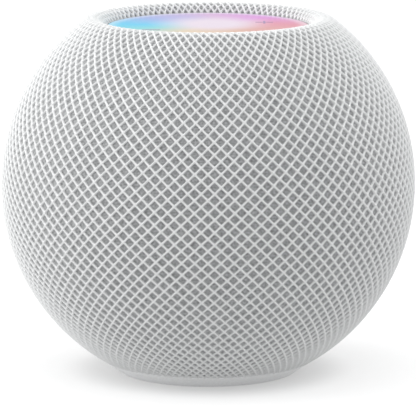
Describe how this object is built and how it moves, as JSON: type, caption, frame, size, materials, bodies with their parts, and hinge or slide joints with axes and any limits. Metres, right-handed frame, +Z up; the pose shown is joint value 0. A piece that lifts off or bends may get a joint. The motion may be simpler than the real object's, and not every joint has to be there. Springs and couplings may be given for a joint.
{
  "type": "smart speaker",
  "caption": "Ball-shaped smart speaker in an open knitted mesh, with a sunken touch surface on top, a low foot and a cable outlet at the back.",
  "frame": {"origin": "on the table, below the centre of the ball", "axes": "+Z up along the ball's axis, +Y to the back, where the cable leaves, +X to the right seen from the front"},
  "size_m": [0.0978, 0.0978, 0.0843],
  "materials": {
    "mesh_fabric": "open knitted polyester lattice",
    "scrim_fabric": "fine knit",
    "touch_glass": "polished, translucent",
    "mark_ink": "satin print",
    "foot_rubber": "satin silicone",
    "shell_plastic": "fine moulded texture",
    "inner_plastic": "fine moulded texture",
    "diffuser_plastic": "opal",
    "seal_rubber": "matt foam",
    "surround_rubber": "satin moulded",
    "cone_paper": "pressed fibre",
    "coil_copper": "enamelled wire",
    "motor_steel": "zinc plated",
    "magnet_nickel": "nickel plated",
    "screw_steel": "black zinc",
    "spreader_metal": "sandblasted",
    "board_laminate": "solder mask",
    "can_metal": "tinned",
    "part_black": "moulded epoxy",
    "led_resin": "clear resin",
    "wire_jacket": "satin jacket"
  },
  "bodies": {
    "housing": {"mesh_cover": "mesh_fabric", "mesh_scrim": "scrim_fabric", "hem_hoop": "wire_jacket", "mesh_clip_ring": "shell_plastic", "top_housing": "shell_plastic", "main_housing": "shell_plastic", "housing_seal": "seal_rubber", "chamber_lid": "inner_plastic", "lid_gasket": "seal_rubber", "waveguide": "inner_plastic", "base_plate": "inner_plastic", "foot": "foot_rubber", "base_screws": "screw_steel", "waveguide_screws": "screw_steel", "driver_screws": "screw_steel", "lid_screws": "screw_steel", "board_screws": "screw_steel", "frame_screws": "screw_steel", "shell_screws": "screw_steel", "driver_basket": "inner_plastic", "driver_gasket": "seal_rubber", "driver_surround": "surround_rubber", "spider": "scrim_fabric", "pole_plate": "motor_steel", "magnet": "magnet_nickel", "yoke_cup": "motor_steel", "driver_terminals": "part_black", "touch_panel": "touch_glass", "plus_mark": "mark_ink", "minus_mark": "mark_ink", "touch_sensor": "diffuser_plastic", "light_diffuser": "diffuser_plastic", "light_baffle": "diffuser_plastic", "led_board": "board_laminate", "status_leds": "led_resin", "top_frame": "inner_plastic", "main_board": "board_laminate", "processor_shield": "can_metal", "radio_shield": "can_metal", "heat_spreader": "spreader_metal", "power_board": "board_laminate", "power_coils": "part_black", "power_capacitors": "part_black", "power_socket": "shell_plastic", "microphones": "can_metal", "ribbon_cable": "part_black", "power_harness": "wire_jacket", "cable_gland": "foot_rubber", "radiator_frame_left": "inner_plastic", "radiator_surround_left": "surround_rubber", "radiator_frame_right": "inner_plastic", "radiator_surround_right": "surround_rubber"},
    "driver_diaphragm": {"driver_cone": "cone_paper", "dust_cap": "cone_paper", "coil_former": "spreader_metal", "coil_winding": "coil_copper"},
    "radiator_left": {"radiator_plate_left": "spreader_metal", "radiator_mass_left": "motor_steel"},
    "radiator_right": {"radiator_plate_right": "spreader_metal", "radiator_mass_right": "motor_steel"}
  },
  "joints": [
    {"name": "driver_slide", "type": "slide", "parent": "housing", "child": "driver_diaphragm", "axis": [0, 0, 1], "range_m": [-0.002, 0.002], "stiffness_N_per_m": 1200, "deforming": ["driver_surround", "spider"]},
    {"name": "radiator_left_slide", "type": "slide", "parent": "housing", "child": "radiator_left", "axis": [-1, 0, 0], "range_m": [-0.002, 0.002], "stiffness_N_per_m": 600, "deforming": ["radiator_surround_left"]},
    {"name": "radiator_right_slide", "type": "slide", "parent": "housing", "child": "radiator_right", "axis": [1, 0, 0], "range_m": [-0.002, 0.002], "stiffness_N_per_m": 600, "deforming": ["radiator_surround_right"]}
  ],
  "couplings": [
    {"joint": "radiator_left_slide", "follows": "driver_slide", "ratio": 0.975},
    {"joint": "radiator_right_slide", "follows": "driver_slide", "ratio": 0.975}
  ]
}
